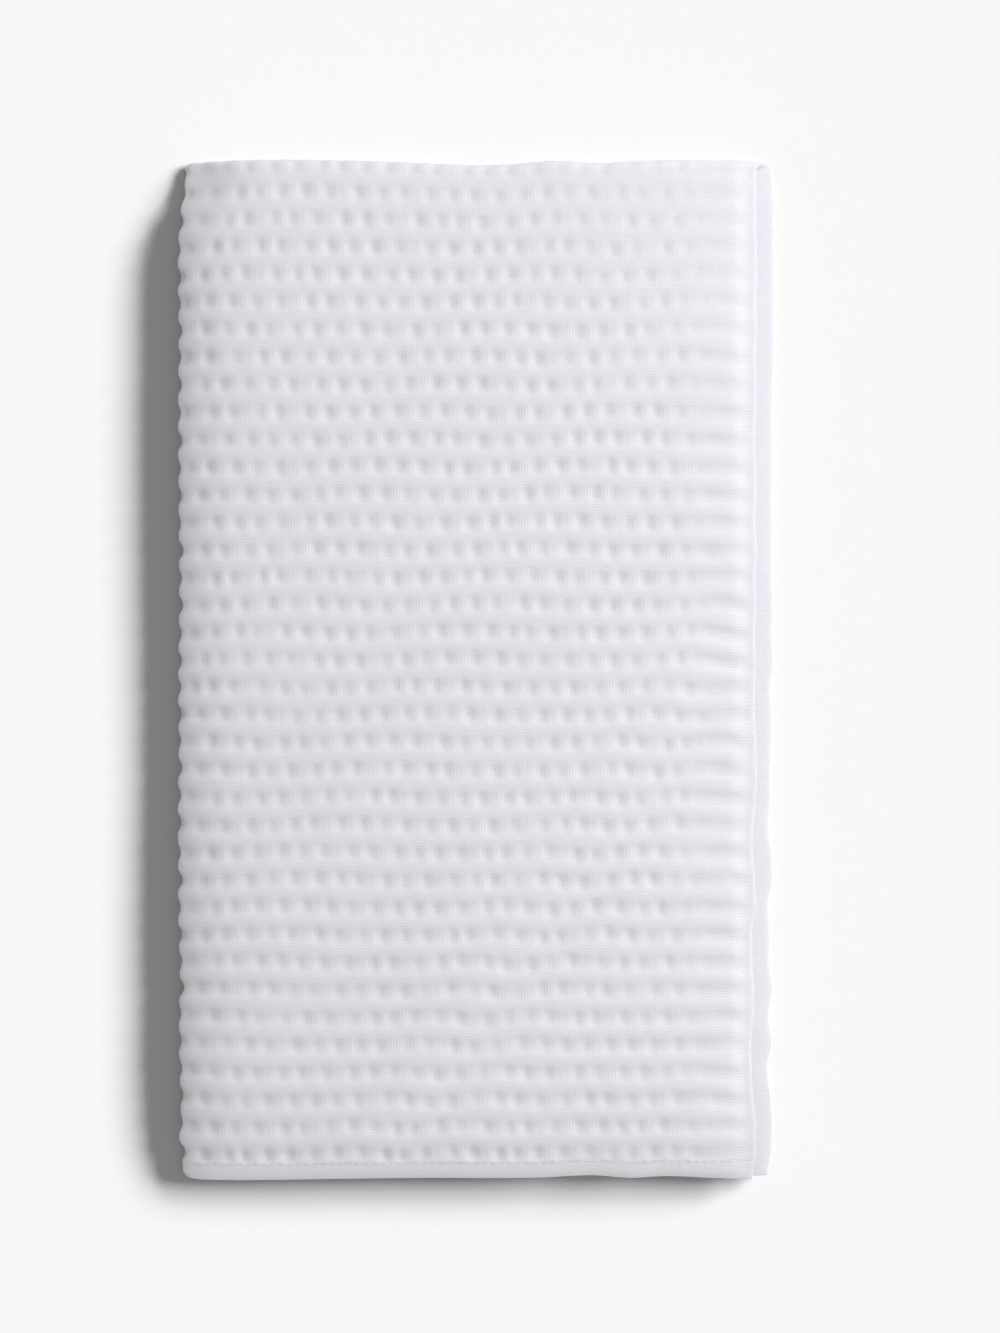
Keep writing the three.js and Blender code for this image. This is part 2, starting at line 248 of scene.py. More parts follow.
@dataclass(frozen=True)
class FoldedCloth:
    """The flat cloth's size and the way it is folded: over a crosswise and then over a lengthwise fold."""

    weave: Honeycomb = Honeycomb()  # relief of its outer face
    flat_width: float = 410  # from selvedge to selvedge
    flat_length: float = 719  # from hem to hem
    thickness: float = 2.4  # of the cloth between the ribs
    gap: float = 0.8  # air between two layers
    hem_stops: LayerStops = LayerStops(0, 0.6, 1.3, 0.5)  # where the layers' hems end
    selvedge_stops: LayerStops = LayerStops(0.2, 0, 0.6, -0.2)  # where their selvedges end
    # Turn around the lengthwise fold between which the relief is pressed away.
    relief_ends: tuple[float, float] = (0.55 * math.pi, 0.92 * math.pi)
    # Of the stack, as a share of its full height, from the lengthwise fold.
    height_across: Course = Course((
        (0, 0.62), (5, 0.69), (10, 0.8), (15, 0.88), (24, 0.94), (46, 0.985), (80, 1), (130, 1.01),
        (165, 1), (181, 0.975), (192, 0.93), (200, 0.885), (206, 0.87), (210, 0.865),
    ))
    # The same from the hems.
    height_along: Course = Course((
        (0, 0.62), (6, 0.76), (13, 0.88), (25, 0.965), (60, 1.01), (150, 0.98), (235, 1.02),
        (323, 1), (341, 0.985), (351, 0.94), (360, 0.86),
    ))
    # How far the outline draws in at the lengthwise fold, from the hems.
    left_edge: Course = Course((
        (0, 1.3), (5, 1.4), (11, 0.5), (25, 0.9), (43, 0.4), (58, 0.3), (74, 0.6), (90, 0.1),
        (110, 0), (140, 0), (153, 0.2), (169, 0), (209, 0.4), (232, 0.2), (264, 0), (280, 0),
        (295, 0.2), (311, 0), (330, 0), (338, 0.4), (345, 1.1), (351, 2), (355, 2.3), (360, 0.2),
    ))
    # The same at the selvedges.
    right_edge: Course = Course((
        (0, 1.3), (4, 0.7), (15, 0.7), (31, 1.6), (61, 0.9), (77, 0.8), (93, 1), (109, 0.8),
        (125, 1.2), (141, 0.6), (171, 0.5), (191, 0.1), (249, 0.2), (263, 0.4), (281, 0), (351, 0),
        (360, 0.2),
    ))
    # The same at the crosswise fold, from the lengthwise one.
    far_edge: Course = Course((
        (0, 0.1), (8, 0), (62, 0.1), (78, 0.6), (92, 1.3), (106, 1.8), (120, 1.3), (134, 0.2),
        (148, 1.1), (162, 0.4), (176, 0), (188, 0), (210, 0.1),
    ))
    # The same at the hems.
    near_edge: Course = Course((
        (0, 0.2), (8, 0), (30, 0), (50, 0.3), (70, 0.6), (95, 0.8), (112, 0.7), (128, 0.9),
        (148, 1.7), (160, 0.8), (172, 1.4), (190, 0.7), (202, 0.3), (210, 0.6),
    ))
    far_corner_drop: float = 0.6  # how much lower the corner of both folds lies, as a share
    far_corner_reach: float = 15  # how far from the corner that is felt
    edge_reach: float = 22  # how far into the towel the drawing-in is felt
    # How far the selvedges wave at each rib, from the hems.
    scallops: Course = Course(((0, 0.9), (120, 0.8), (220, 0.4), (359, 0.25)))
    scallop_reach: float = 5  # how far into the towel the waves are felt
    scallop_wander: Wander = Wander(5)  # random size of the waves
    # How far the selvedges' corners at the hems are pulled up along the towel.
    corner_lift: Course = Course(((0, 0), (8, 2.1), (26, 1.4), (60, 0.5), (110, 0)))
    corner_reach: float = 14  # how far across the towel that is felt

    @property
    def pair_half(self) -> float:
        """From the middle of a pair of layers to its outer face."""
        return self.gap / 2 + self.thickness

    @property
    def pair_radius(self) -> float:
        """Of the pair's middle around the lengthwise fold."""
        return self.thickness + self.gap

    @property
    def fold_height(self) -> float:
        """Of the lengthwise fold's axis above the ground."""
        return self.pair_radius + self.pair_half

    @property
    def fold_inset(self) -> float:
        """Of the lengthwise fold's axis from the fold's outer edge."""
        return self.fold_height + self.weave.rib_height

    @property
    def crosswise_turn(self) -> float:
        """Cloth that the crosswise fold takes, along the middle of its thickness."""
        return math.pi * (self.gap + self.thickness) / 2

    @property
    def outer_turn(self) -> float:
        """Cloth that the lengthwise fold takes of the outer layer."""
        middle = self.pair_half - self.thickness / 2 + self.weave.rib_height / 4
        return math.pi * (self.pair_radius + middle)

    @property
    def inner_turn(self) -> float:
        """Cloth that the lengthwise fold takes of the inner layer."""
        return math.pi * (self.pair_radius - self.pair_half + self.thickness / 2)

    @property
    def straight_along(self) -> float:
        """Straight length of a layer from hem to crosswise fold."""
        return (self.flat_length - self.crosswise_turn) / 2

    @property
    def outer_across(self) -> float:
        """Straight width of the outer layer from selvedge to lengthwise fold."""
        return (self.flat_width - self.outer_turn) / 2

    @property
    def inner_across(self) -> float:
        """Straight width of the inner layer from selvedge to lengthwise fold."""
        return (self.flat_width - self.inner_turn) / 2

    @property
    def folded_width(self) -> float:
        """Of the folded towel, before its outline draws in."""
        return self.fold_inset + self.inner_across

    @property
    def folded_length(self) -> float:
        """Of the folded towel, before its outline draws in."""
        return self.straight_along + self.pair_half

    def crosswise(self, along: np.ndarray) -> tuple[np.ndarray, np.ndarray]:
        """Distance of a place along the cloth from the hems, and its turn round the fold from 0 to pi."""
        turn = np.clip((along - self.straight_along) / self.crosswise_turn, 0, 1) * math.pi
        return np.minimum(along, self.flat_length - along).clip(max=self.straight_along), turn

    def lengthwise(self, across: np.ndarray) -> tuple[np.ndarray, np.ndarray]:
        """Where a place across the cloth lies on its lengthwise fold, measured on the outer layer.

        Args:
            across: Distance from the upper selvedge.

        Returns:
            Share of the straight width from fold to selvedge, and the turn around the fold from 0 to pi.
        """
        turn = np.clip((across - self.outer_across) / self.outer_turn, 0, 1) * math.pi
        from_selvedge = np.minimum(across, self.flat_width - across)
        return 1 - (from_selvedge / self.outer_across).clip(max=1), turn

    def place(self, along: np.ndarray, across: np.ndarray, depth: np.ndarray) -> np.ndarray:
        """Points of the folded cloth.

        The crosswise fold turns each point by its height over the middle of the pair of layers, and the
        lengthwise fold turns the pair as one. The layers' free edges stop a little apart. Then the stack's
        height rolls off to its edges, and the outline draws in by an amount that dies away from each edge.
        The selvedges wave a little from rib to rib.

        Args:
            along: Distance from the outer hem.
            across: Distance from the upper selvedge, measured on the outer layer.
            depth: Height in the cloth's thickness, from its hidden face.

        Returns:
            Points in mm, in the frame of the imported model.
        """
        along, across, depth = np.broadcast_arrays(along, across, depth)
        from_hem, turn = self.crosswise(along)
        reach, roll = self.lengthwise(across)
        inner, bottom = turn / math.pi, roll / math.pi
        level = self.gap / 2 + depth
        stop = self.hem_stops.at(inner, bottom) * (1 - from_hem / self.straight_along)
        y = from_hem + stop + level * np.sin(turn)
        radius = self.pair_radius + level * np.cos(turn)
        straight = self.outer_across + (self.inner_across - self.outer_across) * inner
        straight = straight - self.selvedge_stops.at(inner, bottom)
        x = self.fold_inset + reach * straight - radius * np.sin(roll)
        z = self.fold_height + radius * np.cos(roll)

        def fade(distance: np.ndarray, reach: float) -> np.ndarray:
            """Dies away from 1 at an edge, by a factor of e for each reach."""
            return np.exp(-np.maximum(distance, 0) / reach)

        z = z * self.height_across.at(x) * self.height_along.at(y)
        from_corner = np.hypot(x, self.folded_length - y) / self.far_corner_reach
        z = z * (1 - self.far_corner_drop * np.exp(-(from_corner ** 2)))
        row = (y - self.weave.first_row) / self.weave.row_pitch
        from_selvedge = straight * (1 - reach)
        waves = self.scallop_wander.at(np.round(inner + 2 * bottom), row)
        scallop = self.scallops.at(y) * waves * fade(from_selvedge, self.scallop_reach)
        lift = self.corner_lift.at(y) * fade(from_selvedge, self.corner_reach)
        left = self.left_edge.at(y) * fade(x, self.edge_reach)
        right = self.right_edge.at(y) * fade(self.folded_width - x, self.edge_reach)
        front = self.near_edge.at(x) * fade(y, self.edge_reach)
        back = self.far_edge.at(x) * fade(self.folded_length - y, self.edge_reach)
        return np.stack([x + left - right + scallop, y + front - back + lift, z], axis=-1)


def quads(first: int, rows: int, columns: int) -> np.ndarray:
    """Faces, each with four point numbers, of a grid that is stored row by row from its first point."""
    at = first + np.arange(rows * columns).reshape(rows, columns)
    return np.stack([at[:-1, :-1], at[1:, :-1], at[1:, 1:], at[:-1, 1:]], axis=-1).reshape(-1, 4)


def bridge(low: np.ndarray, low_at: np.ndarray, high: np.ndarray, high_at: np.ndarray) -> np.ndarray:
    """Faces between two lines of points whose counts differ.

    Both lines are walked together. Each step to the next point, in the order of the places, makes a
    triangle with the point reached on the other line.

    Args:
        low: Point numbers of the line that is on the right hand of the walk.
        low_at: Their places along the walk, rising.
        high: Point numbers of the line on the left hand.
        high_at: Their places.

    Returns:
        Three point numbers a face.
    """
    is_low = np.concatenate([np.ones(len(low) - 1, int), np.zeros(len(high) - 1, int)])
    order = np.argsort(np.concatenate([low_at[1:], high_at[1:]]), kind="stable")
    is_low = is_low[order]
    a, b = np.cumsum(is_low), np.cumsum(1 - is_low)
    before = np.where(is_low == 1, low[a - is_low], low[a])
    third = np.where(is_low == 1, low[a], high[b])
    return np.stack([before, third, high[b - (1 - is_low)]], axis=-1)


def add_mesh(name: str, points: np.ndarray, faces: list[np.ndarray]) -> bpy.types.Object:
    """Makes a smooth-shaded object at the origin.

    Args:
        name: The piece's name.
        points: Points in mm.
        faces: Arrays of point numbers, each with its own number of corners.

    Returns:
        The object.
    """
    mesh = bpy.data.meshes.new(name)
    mesh.from_pydata((points * MM).tolist(), [], [face for block in faces for face in block.tolist()])
    mesh.polygons.foreach_set("use_smooth", np.ones(len(mesh.polygons), bool))
    mesh.update()
    piece = bpy.data.objects.new(name, mesh)
    bpy.context.scene.collection.objects.link(piece)
    return piece


def linear(colour: str) -> tuple[float, float, float, float]:
    """Linear red, green and blue, and an alpha of 1, of an sRGB hex value such as "#E6E5EA"."""
    shares = [int(colour[i:i + 2], 16) / 255 for i in (1, 3, 5)]
    return (*(c / 12.92 if c <= 0.04045 else ((c + 0.055) / 1.055) ** 2.4 for c in shares), 1.0)


def add_node(tree: bpy.types.NodeTree, kind: str, inputs: dict | None = None, **settings) -> bpy.types.Node:
    """Adds a node with its settings and links.

    Args:
        tree: Where it goes.
        kind: Blender's name of the node type.
        inputs: By the input's name or number, a value or the socket that it is linked to.
        **settings: The node's properties.

    Returns:
        The node.
    """
    node = tree.nodes.new(kind)
    for name, value in settings.items():
        setattr(node, name, value)
    for key, value in (inputs or {}).items():
        if isinstance(value, bpy.types.NodeSocket):
            tree.links.new(value, node.inputs[key])
        else:
            node.inputs[key].default_value = value
    return node


class Layer(Enum):
    """Named attributes that the cloth's finish reads."""

    # Painted shade by the relief's height: 0 in the cells, 1 on the ribs.
    FLAT_MAP = "cloth"
    CELL_SHADE = "rise"
    WARP_UP = "warp_up"
    PRESSED = "pressed"
    # Painted shade along the selvedges, 1 at the edge.
    SELVEDGE_SHADE = "selvedge"


def read_layer(tree: bpy.types.NodeTree, layer: Layer) -> bpy.types.NodeSocket:
    """Value of one of the cloth's attributes."""
    return add_node(tree, "ShaderNodeAttribute", attribute_name=layer.value).outputs["Fac"]


def mix_colour(
    tree: bpy.types.NodeTree, share: bpy.types.NodeSocket, first: bpy.types.NodeSocket | tuple, second: tuple,
) -> bpy.types.NodeSocket:
    """Colour at a share of the way from the first colour to the second."""
    return add_node(tree, "ShaderNodeMix", {0: share, 6: first, 7: second}, data_type="RGBA").outputs[2]


def wave_scale(pitch: float) -> float:
    """Scale of a wave texture whose bands are a pitch in mm apart: it draws 20 radians for each unit."""
    return 2 * math.pi / (20 * pitch * MM)


def new_material(name: str) -> tuple[bpy.types.Material, bpy.types.NodeTree]:
    """Makes a material with an empty node tree.

    Args:
        name: The finish's name.

    Returns:
        The material and its tree.
    """
    material = bpy.data.materials.new(name)
    material.use_nodes = True
    material.node_tree.nodes.clear()
    return material, material.node_tree


@dataclass(frozen=True)
class HoneycombCotton:
    """White cotton in honeycomb weave: bleached, soft and matt, with floating threads along every rib.

    The threads float along the ribs and walls of the cells, so the weft shows on the ribs and the warp on
    the walls. Loose fibres give it a soft sheen at its edges.
    """

    weave: Honeycomb = Honeycomb()  # the relief that it is laid on
    crest: str = "#E6E5EA"  # colour of the ribs, without painted shade
    floor: str = "#E1E0E6"  # painted shade in the cells, the colour where they lie deepest
    selvedge: str = "#C8C7CD"  # painted shade along the selvedges
    roughness: float = 0.92  # high, because the fibres scatter light to all sides
    thread_pitch: float = 1.0  # from thread to thread. Real ones are about 0.6 mm apart, too fine to show.
    thread_depth: float = 0.16  # height of the threads' bump
    thread_strength: float = 0.42  # share of it that is felt
    fibre_size: float = 0.5  # of the loose fibres' bump
    fibre_share: float = 0.35  # of the fibres in the bump
    pressed_depth: float = 0.8  # height of the cells' bump where the cloth is pressed flat
    pressed_walls: float = 0.3  # height of the walls in it, as a share of the ribs'
    cloud_size: float = 45  # of the faint change of tone over the towel
    cloud_share: float = 0.25  # how far it goes, as a share of the way from floor to crest
    scatter: float = 1.3  # how far light wanders between the white fibres, in mm

    def pressed_cells(self, tree: bpy.types.NodeTree, flat: bpy.types.NodeSocket) -> bpy.types.NodeSocket:
        """Height of the rows of cells where the towel's weight presses the cloth flat on the ground.

        With r rows and c cells counted from a cell's middle, a wave gives s = (1 - cos 2πr) / 2, and the
        height is s less the walls' share of cos πr cos 2πc, so every other row is set over by half a cell.

        Args:
            tree: Where the nodes go.
            flat: The cloth's flat map.

        Returns:
            The height, and none where the cloth isn't pressed.
        """
        across, along = self.weave.cell_pitch.rows[0][1], self.weave.row_pitch

        def wave(direction: str, pitch: float, origin: float) -> bpy.types.NodeSocket:
            """Half of one less the cosine, with the given pitch, that starts at an origin."""
            phase = -2 * math.pi * origin / pitch
            inputs = {"Vector": flat, "Scale": wave_scale(pitch), "Phase Offset": phase}
            return add_node(tree, "ShaderNodeTexWave", inputs, bands_direction=direction).outputs["Fac"]

        def calculate(operation: str, *values: float | bpy.types.NodeSocket) -> bpy.types.NodeSocket:
            """Result of a Math node."""
            return add_node(tree, "ShaderNodeMath", dict(enumerate(values)), operation=operation).outputs[0]

        rows = wave("Y", along, self.weave.first_row)
        half_rows = calculate("MULTIPLY_ADD", wave("Y", 2 * along, self.weave.first_row), -2.0, 1.0)
        columns = calculate("MULTIPLY_ADD", wave("X", across, self.weave.column_origin), -2.0, 1.0)
        cells = calculate("MULTIPLY", half_rows, columns)
        height = calculate("MULTIPLY_ADD", cells, -self.pressed_walls, rows)
        return calculate("MULTIPLY", height, read_layer(tree, Layer.PRESSED))

    def relief(self, tree: bpy.types.NodeTree, flat: bpy.types.NodeSocket) -> bpy.types.NodeSocket:
        """Bump of the threads and fibres, over that of the pressed cells.

        Args:
            tree: Where the nodes go.
            flat: The cloth's flat map.

        Returns:
            The bumped normal.
        """
        threads = {
            "Vector": flat, "Scale": wave_scale(self.thread_pitch), "Distortion": 4.5, "Detail": 2.0,
            "Detail Scale": 1.0,
        }
        warp = add_node(tree, "ShaderNodeTexWave", threads, bands_direction="X").outputs["Fac"]
        weft = add_node(tree, "ShaderNodeTexWave", threads, bands_direction="Y").outputs["Fac"]
        woven = add_node(tree, "ShaderNodeMix", {0: read_layer(tree, Layer.WARP_UP), 2: weft, 3: warp}).outputs[0]
        fibres = add_node(tree, "ShaderNodeTexNoise", {
            "Vector": flat, "Scale": 1 / (self.fibre_size * MM), "Detail": 3.0, "Roughness": 0.6,
        }).outputs["Fac"]
        surface = add_node(tree, "ShaderNodeMix", {0: self.fibre_share, 2: woven, 3: fibres}).outputs[0]
        cells = add_node(tree, "ShaderNodeBump", {
            "Height": self.pressed_cells(tree, flat), "Strength": 1.0, "Distance": self.pressed_depth * MM,
        }).outputs["Normal"]
        return add_node(tree, "ShaderNodeBump", {
            "Height": surface, "Strength": self.thread_strength, "Distance": self.thread_depth * MM,
            "Normal": cells,
        }).outputs["Normal"]

    def colour(self, tree: bpy.types.NodeTree) -> bpy.types.NodeSocket:
        """Painted shade: darker in the cells than on the ribs, and darker along the selvedges, with faint random
        clouds of tone.

        Args:
            tree: Where the nodes go.

        Returns:
            The colour.
        """
        place = add_node(tree, "ShaderNodeTexCoord").outputs["Object"]
        clouds = add_node(tree, "ShaderNodeTexNoise", {
            "Vector": place, "Scale": 1 / (self.cloud_size * MM), "Detail": 2.0,
        }).outputs["Fac"]
        uneven = add_node(tree, "ShaderNodeMapRange", {
            "Value": clouds, "From Min": 0.3, "From Max": 0.7, "To Min": -self.cloud_share,
            "To Max": self.cloud_share,
        }).outputs[0]
        # Painted shade of the cells, plus faint random clouds of tone.
        sum_of_both = {0: read_layer(tree, Layer.CELL_SHADE), 1: uneven}
        tone = add_node(tree, "ShaderNodeMath", sum_of_both, operation="ADD", use_clamp=True).outputs[0]
        body = mix_colour(tree, tone, linear(self.floor), linear(self.crest))
        return mix_colour(tree, read_layer(tree, Layer.SELVEDGE_SHADE), body, linear(self.selvedge))

    def material(self) -> bpy.types.Material:
        """Cotton that lets light in a little way, as white fibres do.

        Returns:
            The material.
        """
        material, tree = new_material("white honeycomb cotton")
        flat = add_node(tree, "ShaderNodeUVMap", uv_map=Layer.FLAT_MAP.value).outputs[0]
        shader = add_node(tree, "ShaderNodeBsdfPrincipled", {
            "Base Color": self.colour(tree), "Roughness": self.roughness, "IOR": 1.5,
            "Specular IOR Level": 0.25, "Subsurface Weight": 1.0, "Subsurface Radius": (1.0, 1.0, 1.0),
            "Subsurface Scale": self.scatter * MM, "Sheen Weight": 0.05, "Sheen Roughness": 0.6,
            "Normal": self.relief(tree, flat),
        })
        add_node(tree, "ShaderNodeOutputMaterial", {"Surface": shader.outputs[0]})
        return material


@dataclass(frozen=True)
class SewingThread:
    """White spun polyester sewing thread: smoother than the cloth, with a fine twist."""

    colour: str = "#EFEEF1"  # of the plies' tops
    painted_groove_shade: str = "#E3E2E6"  # painted shade in the lines between the plies
    roughness: float = 0.6  # lower than the cloth's, as the fibres are tightly spun
    twist_pitch: float = 0.6  # from ply to ply
    twist_depth: float = 0.06  # of the lines between them

    def material(self) -> bpy.types.Material:
        """Thread whose bump is the slanting twist of its plies, with painted shade in the lines between them.

        Returns:
            The material.
        """
        material, tree = new_material("spun sewing thread")
        place = add_node(tree, "ShaderNodeTexCoord").outputs["Object"]
        twist = add_node(
            tree, "ShaderNodeTexWave", {"Vector": place, "Scale": wave_scale(self.twist_pitch)},
            bands_direction="DIAGONAL",
        ).outputs["Fac"]
        bump = add_node(tree, "ShaderNodeBump", {"Height": twist, "Distance": self.twist_depth * MM})
        # Painted shade in the lines between the plies.
        tone = mix_colour(tree, twist, linear(self.painted_groove_shade), linear(self.colour))
        shader = add_node(tree, "ShaderNodeBsdfPrincipled", {
            "Base Color": tone, "Roughness": self.roughness, "IOR": 1.55,
            "Sheen Weight": 0.1, "Normal": bump.outputs["Normal"],
        })
        add_node(tree, "ShaderNodeOutputMaterial", {"Surface": shader.outputs[0]})
        return material


@dataclass(frozen=True)
class PaperSweep:
    """The studio's pale floor, matt background paper."""

    colour: str = "#C4C4C4"  # of the paper
    side: float = 40.0  # of the square sheet, in metres, past the view from any angle

    def build(self) -> bpy.types.Object:
        """A square of paper on the ground.

        Returns:
            The floor.
        """
        corners = np.array([[-1, -1, 0], [1, -1, 0], [1, 1, 0], [-1, 1, 0]]) * self.side / 2 / MM
        floor = add_mesh("floor", corners, [np.array([[0, 1, 2, 3]])])
        material, tree = new_material("background paper")
        shader = add_node(tree, "ShaderNodeBsdfDiffuse", {"Color": linear(self.colour)})
        add_node(tree, "ShaderNodeOutputMaterial", {"Surface": shader.outputs[0]})
        floor.data.materials.append(material)
        return floor


@dataclass
class TowelSheet:
    """The towel's cloth as one closed thin sheet. A pair of places is as in Honeycomb."""

    cloth: FoldedCloth = field(default_factory=FoldedCloth)  # its size, its folds and its relief
    finish: HoneycombCotton = field(default_factory=HoneycombCotton)  # its material
    relief_from: tuple[float, float] = (0.5, 9)  # where the relief starts, from the selvedge
    plain_edge: float = 0.1  # height of the plain woven selvedge, as a share of the ribs'
    plain_rise: float = 0.35  # how much higher the plain weave is further in
    plain_reach: float = 15  # how far in it rises
    fold_crest: float = 0.2  # share of the relief that is left on the crosswise fold's crest
    edge_share: float = 0.55  # thickness of the selvedge, as a share of the cloth's
    edge_reach: float = 8  # how far in it grows to the full thickness
    hem_lip: float = 0.8  # radius of the sheet's rounded edge
    lip_steps: int = 5  # facets around that edge
    overlap: float = 7  # how far the fine edge reaches in on the hidden face
    weld: float = 3  # width of the strip between that edge and the hidden face's coarse grid
    samples_row: int = 8  # points along the outer layer for each row of cells
    # Places of points on the hem's band, and last the one that starts the even ones.
    band_rows: tuple[float, ...] = (1.4, 2.2, 3.4, 4.6, 5.4, 5.9, 6.4, 7.1, 7.8)
    fold_rows: int = 13  # points round the crosswise fold
    fold_start: float = 0.05  # share of the fold before the first of them
    samples_cell: int = 7  # points across the towel's top for each cell
    mean_cell: float = 8.19  # middle of the cells' widths
    fold_columns: int = 17  # points round the lengthwise fold
    under_columns: int = 24  # points across the outer layer underneath
    inner_rows: int = 150  # points along the inner layer
    inner_start: float = 3  # from the crosswise fold to the first of them
    coarse_columns: int = 14  # points across a straight part of a hidden layer
    coarse_power: float = 1.5  # power of their even shares, which draws them to the selvedge
    coarse_fold: int = 9  # points round the lengthwise fold of a hidden layer
    hidden_rows: int = 120  # points along a straight part of the hidden face
    hidden_fold: int = 7  # points round the crosswise fold of the hidden face
    # Painted tone of hidden and pressed cloth, from 0 as the painted shade of the cells' floor to 1 as the
    # unshaded ribs' crest.
    hidden_shade_tone: float = 0.7
    # How much higher than the ribs the walls are where the warp comes up.
    warp_up_from: tuple[float, float] = (-0.15, 0.25)
    press_fade: float = 3  # how far past the straight part the pressed cells fade out
    rim: float = 0.8  # width of the rim with the full painted shade along the selvedges
    rim_fade: float = 10  # how far in the last of that painted shade fades out
    rim_share: float = 0.1  # share of that painted shade that fades out that slowly
    # Moves the folded cloth to the middle of its footprint, once it is built.
    shift: np.ndarray = field(default_factory=lambda: np.zeros(3))

    def from_selvedge(self, across: np.ndarray) -> np.ndarray:
        """Distance from the nearer selvedge."""
        return np.minimum(across, self.cloth.flat_width - across)

    def height(self, along: np.ndarray, across: np.ndarray) -> np.ndarray:
        """Relief of the outer face, worn away where it turns under or lies between the layers.

        It runs out into a plain woven selvedge. On the crosswise fold it goes with the square of the
        turn's cosine, down to its share on the crest, and past the crest with the square of the sine.

        Args:
            along: Distance from the outer hem.
            across: Distance from the upper selvedge.

        Returns:
            The height in mm.
        """
        cloth, weave, crest = self.cloth, self.cloth.weave, self.fold_crest
        _, turn = cloth.crosswise(along)
        _, roll = cloth.lengthwise(across)
        from_selvedge = self.from_selvedge(across)
        upper = 1 - smooth(roll, *cloth.relief_ends)
        woven = smooth(from_selvedge, *self.relief_from)
        plain = self.plain_edge + self.plain_rise * smooth(from_selvedge, 0, self.plain_reach)
        plain = weave.rib_height * plain * smooth(along, 0, weave.hem_width)
        before_crest = crest + (1 - crest) * np.cos(turn) ** 2
        folded = np.where(turn < math.pi / 2, before_crest, crest * np.sin(turn) ** 2)
        return (plain + (weave.height(along, across) - plain) * woven) * upper * folded

    def half(self, along: np.ndarray, across: np.ndarray) -> np.ndarray:
        """Half the cloth's thickness, which thins out at the selvedges."""
        grown = smooth(self.from_selvedge(across), 0, self.edge_reach)
        return self.cloth.thickness / 2 * (self.edge_share + (1 - self.edge_share) * grown) + 0 * along

    def skin(self, along: np.ndarray, across: np.ndarray, lip: float) -> np.ndarray:
        """Points on the cloth's skin, whose lip turns from 0 on the outer face to pi on the hidden one."""
        depth = self.cloth.thickness / 2 + self.half(along, across) * math.cos(lip)
        return self.cloth.place(along, across, depth + self.height(along, across) * max(math.cos(lip), 0))

    def rows_outer(self) -> np.ndarray:
        """Places along the outer layer and round the crosswise fold, fine enough to show the cells."""
        cloth, band = self.cloth, self.band_rows
        cells = np.arange(band[-1], cloth.straight_along, cloth.weave.row_pitch / self.samples_row)
        fold = cloth.straight_along + cloth.crosswise_turn * np.linspace(self.fold_start, 1, self.fold_rows)
        return np.concatenate([[self.hem_lip], band[:-1], cells, fold])

    def rows_inner(self) -> np.ndarray:
        """Places along the inner layer, from the crosswise fold to its hem."""
        start = self.cloth.straight_along + self.cloth.crosswise_turn + self.inner_start
        return np.linspace(start, self.cloth.flat_length - self.hem_lip, self.inner_rows)

    def columns_fine(self) -> np.ndarray:
        """Places across the outer layer: fine on top and round the fold, coarse underneath."""
        cloth = self.cloth
        top = np.arange(self.hem_lip, cloth.outer_across, self.mean_cell / self.samples_cell)
        fold = cloth.outer_across + cloth.outer_turn * np.linspace(0, 1, self.fold_columns)
        share = np.linspace(0, 1, self.under_columns)[1:]
        under = cloth.outer_across + cloth.outer_turn + (cloth.outer_across - self.hem_lip) * share
        return np.concatenate([top, fold, under])

    def columns_coarse(self, inset: float) -> np.ndarray:
        """Places across a hidden layer, closest at the selvedges and round the fold.

        Args:
            inset: Of the first and the last from the selvedges.

        Returns:
            The places.
        """
        cloth = self.cloth
        share = np.linspace(0, 1, self.coarse_columns)
        straight = inset + (cloth.outer_across - inset) * share ** self.coarse_power
        fold = cloth.outer_across + cloth.outer_turn * np.linspace(0, 1, self.coarse_fold)[1:-1]
        return np.concatenate([straight, fold, (cloth.flat_width - straight)[::-1]])

    def rows_hidden(self, inset: float) -> np.ndarray:
        """Places along the hidden face of both layers.

        Args:
            inset: Of the first and the last from the hems.

        Returns:
            The places.
        """
        cloth = self.cloth
        straight = np.linspace(inset, cloth.straight_along, self.hidden_rows)
        fold = cloth.straight_along + cloth.crosswise_turn * np.linspace(0, 1, self.hidden_fold)[1:-1]
        return np.concatenate([straight, fold, (cloth.flat_length - straight)[::-1]])

    def build(self) -> bpy.types.Object:
        """The sheet: its outer face in a fine and a coarse grid, its rounded edge, and its hidden face.

        The edge is made of loops around the outer face's border, each stretched to the rectangle that lies
        its own distance inside the cloth's outline.

        Returns:
            The piece.
        """
        cloth = self.cloth
        places: list[np.ndarray] = []
        points: list[np.ndarray] = []
        faces: list[np.ndarray] = []
        hidden: list[np.ndarray] = []

        def add_points(along: np.ndarray, across: np.ndarray, lip: float) -> int:
            """Adds points and returns the number of the first."""
            first = sum(len(block) for block in points)
            along, across = np.broadcast_arrays(along, across)
            points.append(self.skin(along, across, lip).reshape(-1, 3))
            places.append(np.stack([along.ravel(), across.ravel()], axis=-1))
            hidden.append(np.full(along.size, lip > math.pi / 2))
            return first

        def add_grid(along: np.ndarray, across: np.ndarray, lip: float) -> np.ndarray:
            """Adds a point for each row and column, and returns their numbers."""
            first = add_points(along[:, None], across[None, :], lip)
            return first + np.arange(along.size * across.size).reshape(along.size, across.size)

        def ring(grid: np.ndarray) -> np.ndarray:
            """Border of a grid of point numbers, once round from its first corner along the first row."""
            return np.concatenate([grid[0, :-1], grid[:-1, -1], grid[-1, :0:-1], grid[:0:-1, 0]])

        fine, coarse = self.columns_fine(), self.columns_coarse(self.hem_lip)
        outer = add_grid(self.rows_outer(), fine, 0)
        inner = add_grid(self.rows_inner(), coarse, 0)
        faces.append(quads(outer[0, 0], *outer.shape))
        faces.append(quads(inner[0, 0], *inner.shape))
        faces.append(bridge(inner[0], coarse, outer[-1], fine)[:, ::-1])

